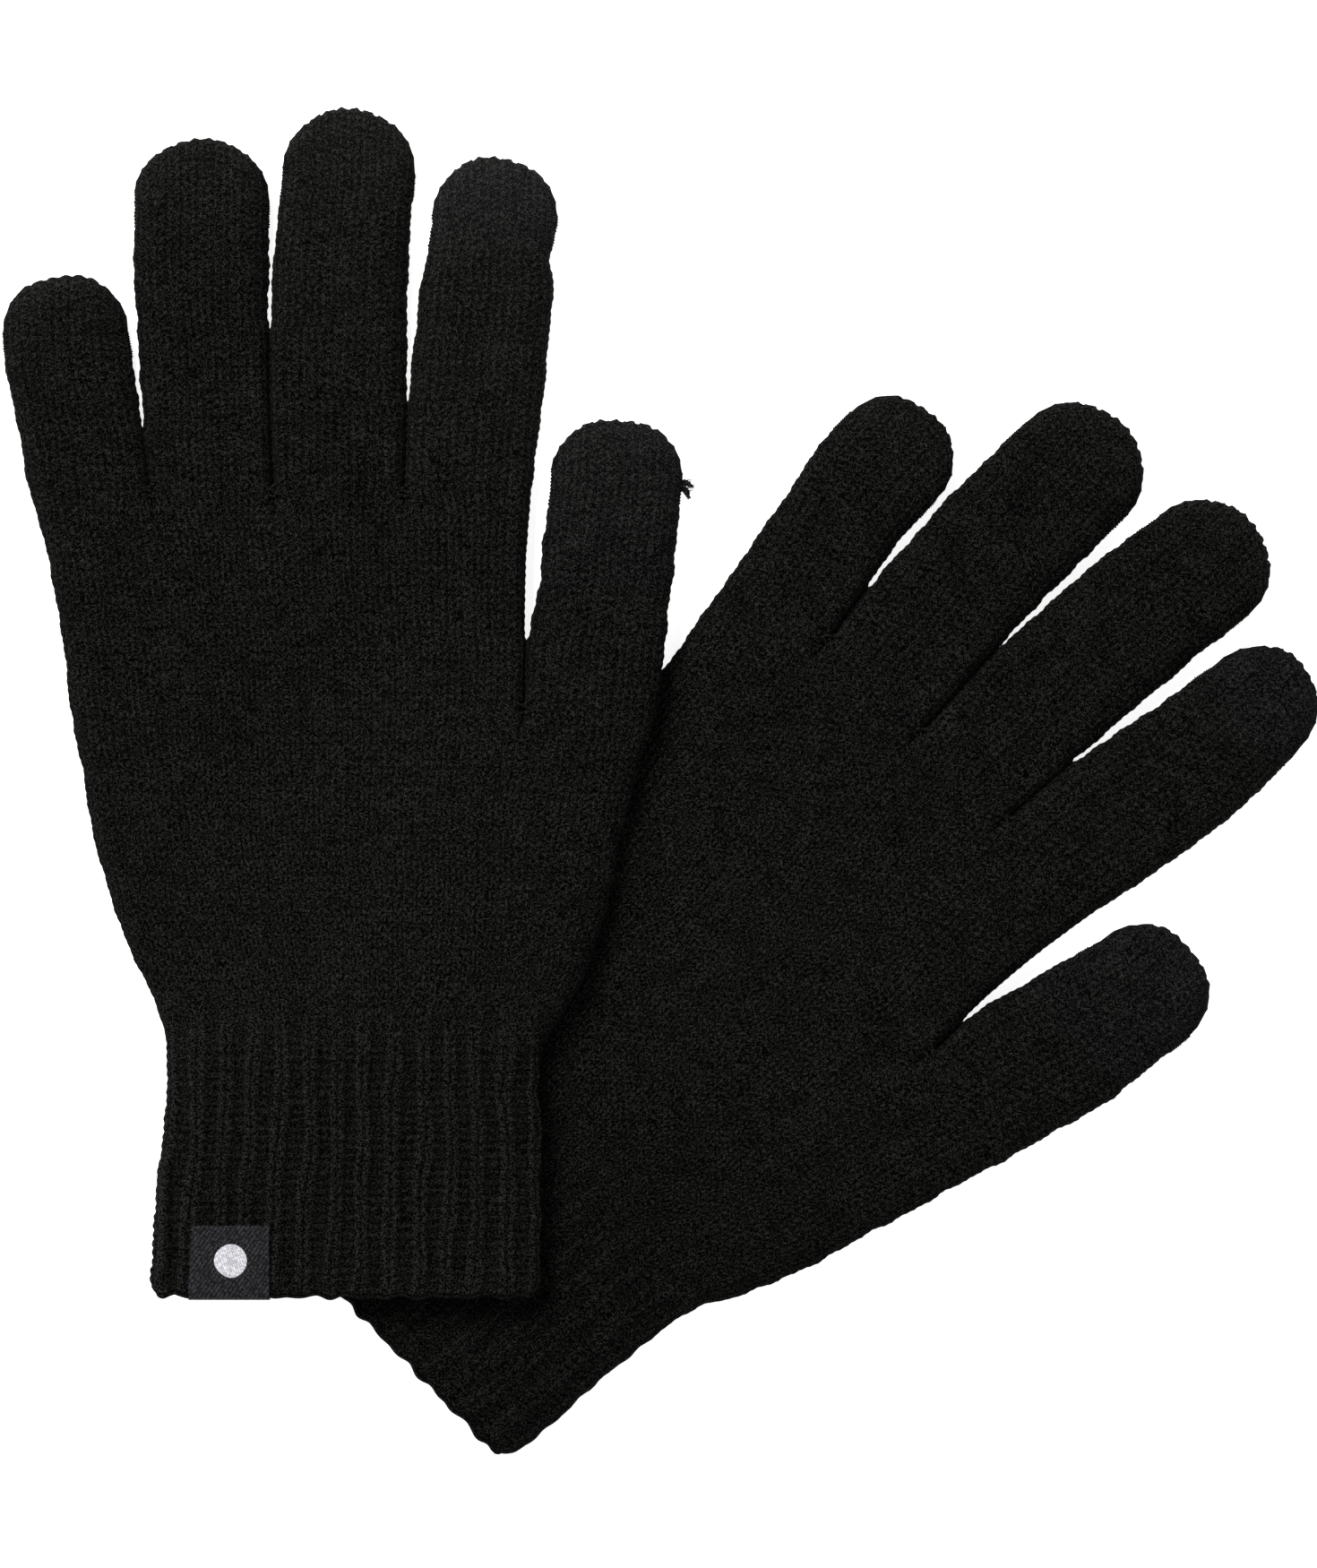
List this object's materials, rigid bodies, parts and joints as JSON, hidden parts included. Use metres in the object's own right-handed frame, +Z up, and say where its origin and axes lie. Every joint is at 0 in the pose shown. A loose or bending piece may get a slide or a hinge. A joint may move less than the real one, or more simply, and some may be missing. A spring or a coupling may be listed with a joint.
{
  "type": "pair of touchscreen gloves",
  "caption": "Pair of knitted touchscreen gloves with ribbed cuffs, conductive thumb and index tips and a folded hem label, lying one across the other.",
  "frame": {"origin": "bottom centre of the pair's bounding box, on the surface the gloves lie on", "axes": "+Z up; +Y from the upper glove's cuff towards its fingertips; +X towards that glove's thumb side"},
  "size_m": [0.2654, 0.2732, 0.017],
  "materials": {
    "plain_knit": "black stockinette knit, matt, slightly fuzzy",
    "rib_knit": "black 1x1 rib knit, matt",
    "touch_knit": "charcoal-black conductive yarn knit, matt",
    "loose_yarn": "black yarn, matt",
    "label_weave": "dark woven twill with a soft sheen",
    "mark_weave": "white woven thread",
    "sewing_thread": "dark sewing thread"
  },
  "bodies": {
    "lower_hand": {"lower_cuff_hem": "rib_knit", "lower_cuff_rib": "rib_knit", "lower_five_finger_palm": "plain_knit", "lower_four_finger_palm": "plain_knit", "lower_crotch_darns": "loose_yarn"},
    "lower_little_base": {"lower_little_base": "plain_knit"},
    "lower_little_tip": {"lower_little_tip": "plain_knit", "lower_little_yarn_tail": "loose_yarn"},
    "lower_ring_base": {"lower_ring_base": "plain_knit"},
    "lower_ring_tip": {"lower_ring_tip": "plain_knit"},
    "lower_middle_base": {"lower_middle_base": "plain_knit"},
    "lower_middle_tip": {"lower_middle_tip": "plain_knit"},
    "lower_index_base": {"lower_index_base": "plain_knit"},
    "lower_index_tip": {"lower_index_middle": "plain_knit", "lower_index_touch_tip": "touch_knit"},
    "lower_thumb_base": {"lower_thumb_base": "plain_knit"},
    "lower_thumb_tip": {"lower_thumb_touch_tip": "touch_knit"},
    "upper_hand": {"upper_cuff_hem": "rib_knit", "upper_cuff_rib": "rib_knit", "upper_five_finger_palm": "plain_knit", "upper_four_finger_palm": "plain_knit", "upper_crotch_darns": "loose_yarn", "upper_label": "label_weave", "upper_label_mark": "mark_weave", "upper_label_stitches": "sewing_thread"},
    "upper_little_base": {"upper_little_base": "plain_knit"},
    "upper_little_tip": {"upper_little_tip": "plain_knit"},
    "upper_ring_base": {"upper_ring_base": "plain_knit"},
    "upper_ring_tip": {"upper_ring_tip": "plain_knit"},
    "upper_middle_base": {"upper_middle_base": "plain_knit"},
    "upper_middle_tip": {"upper_middle_tip": "plain_knit"},
    "upper_index_base": {"upper_index_base": "plain_knit"},
    "upper_index_tip": {"upper_index_middle": "plain_knit", "upper_index_touch_tip": "touch_knit"},
    "upper_thumb_base": {"upper_thumb_base": "plain_knit"},
    "upper_thumb_tip": {"upper_thumb_touch_tip": "touch_knit", "upper_thumb_yarn_tail": "loose_yarn"}
  },
  "joints": [
    {"name": "lower_little_knuckle", "type": "hinge", "parent": "lower_hand", "child": "lower_little_base", "pos_m": [0.02639, 0.0393, 0.004], "axis": [0.6984, -0.7157, 0], "range_deg": [0, 85]},
    {"name": "lower_little_middle_joint", "type": "hinge", "parent": "lower_little_base", "child": "lower_little_tip", "pos_m": [0.03839, 0.0553, 0.004], "axis": [0.8003, -0.5996, 0], "range_deg": [0, 65]},
    {"name": "lower_ring_knuckle", "type": "hinge", "parent": "lower_hand", "child": "lower_ring_base", "pos_m": [0.04407, 0.02119, 0.004], "axis": [0.6984, -0.7157, 0], "range_deg": [0, 85]},
    {"name": "lower_ring_middle_joint", "type": "hinge", "parent": "lower_ring_base", "child": "lower_ring_tip", "pos_m": [0.06654, 0.04535, 0.004], "axis": [0.7321, -0.6812, 0], "range_deg": [0, 65]},
    {"name": "lower_middle_knuckle", "type": "hinge", "parent": "lower_hand", "child": "lower_middle_base", "pos_m": [0.06194, 0.00287, 0.004], "axis": [0.6984, -0.7157, 0], "range_deg": [0, 85]},
    {"name": "lower_middle_middle_joint", "type": "hinge", "parent": "lower_middle_base", "child": "lower_middle_tip", "pos_m": [0.08826, 0.02595, 0.004], "axis": [0.6594, -0.7518, 0], "range_deg": [0, 65]},
    {"name": "lower_index_knuckle", "type": "hinge", "parent": "lower_hand", "child": "lower_index_base", "pos_m": [0.07965, -0.01527, 0.004], "axis": [0.6984, -0.7157, 0], "range_deg": [0, 85]},
    {"name": "lower_index_middle_joint", "type": "hinge", "parent": "lower_index_base", "child": "lower_index_tip", "pos_m": [0.10428, 0.00356, 0.004], "axis": [0.6074, -0.7944, 0], "range_deg": [0, 65]},
    {"name": "lower_thumb_knuckle", "type": "hinge", "parent": "lower_hand", "child": "lower_thumb_base", "pos_m": [0.06518, -0.06258, 0.004], "axis": [0.6984, -0.7157, 0], "range_deg": [0, 60]},
    {"name": "lower_thumb_middle_joint", "type": "hinge", "parent": "lower_thumb_base", "child": "lower_thumb_tip", "pos_m": [0.08761, -0.04755, 0.004], "axis": [0.5567, -0.8307, 0], "range_deg": [0, 70]},
    {"name": "upper_glove_lift", "type": "slide", "parent": "lower_hand", "child": "upper_hand", "axis": [0, 0, 1], "range_m": [0, 0.12]},
    {"name": "upper_little_knuckle", "type": "hinge", "parent": "upper_hand", "child": "upper_little_base", "pos_m": [-0.11544, 0.06077, 0.004], "axis": [1, 0, 0], "range_deg": [0, 85]},
    {"name": "upper_little_middle_joint", "type": "hinge", "parent": "upper_little_base", "child": "upper_little_tip", "pos_m": [-0.1185, 0.08053, 0.004], "axis": [0.9882, 0.153, 0], "range_deg": [0, 65]},
    {"name": "upper_ring_knuckle", "type": "hinge", "parent": "upper_hand", "child": "upper_ring_base", "pos_m": [-0.09074, 0.06077, 0.004], "axis": [1, 0, 0], "range_deg": [0, 85]},
    {"name": "upper_ring_middle_joint", "type": "hinge", "parent": "upper_ring_base", "child": "upper_ring_tip", "pos_m": [-0.09195, 0.09375, 0.004], "axis": [0.9993, 0.0368, 0], "range_deg": [0, 65]},
    {"name": "upper_middle_knuckle", "type": "hinge", "parent": "upper_hand", "child": "upper_middle_base", "pos_m": [-0.06499, 0.06077, 0.004], "axis": [1, 0, 0], "range_deg": [0, 85]},
    {"name": "upper_middle_middle_joint", "type": "hinge", "parent": "upper_middle_base", "child": "upper_middle_tip", "pos_m": [-0.06402, 0.09576, 0.004], "axis": [0.9996, -0.0278, 0], "range_deg": [0, 65]},
    {"name": "upper_index_knuckle", "type": "hinge", "parent": "upper_hand", "child": "upper_index_base", "pos_m": [-0.03894, 0.06077, 0.004], "axis": [1, 0, 0], "range_deg": [0, 85]},
    {"name": "upper_index_middle_joint", "type": "hinge", "parent": "upper_index_base", "child": "upper_index_tip", "pos_m": [-0.03591, 0.09162, 0.004], "axis": [0.9952, -0.0976, 0], "range_deg": [0, 65]},
    {"name": "upper_thumb_knuckle", "type": "hinge", "parent": "upper_hand", "child": "upper_thumb_base", "pos_m": [-0.01353, 0.01732, 0.01143], "axis": [0.9898, 0.0085, 0.1424], "range_deg": [0, 60]},
    {"name": "upper_thumb_middle_joint", "type": "hinge", "parent": "upper_thumb_base", "child": "upper_thumb_tip", "pos_m": [-0.01037, 0.04399, 0.00867], "axis": [0.9829, -0.1004, 0.1546], "range_deg": [0, 70]}
  ]
}
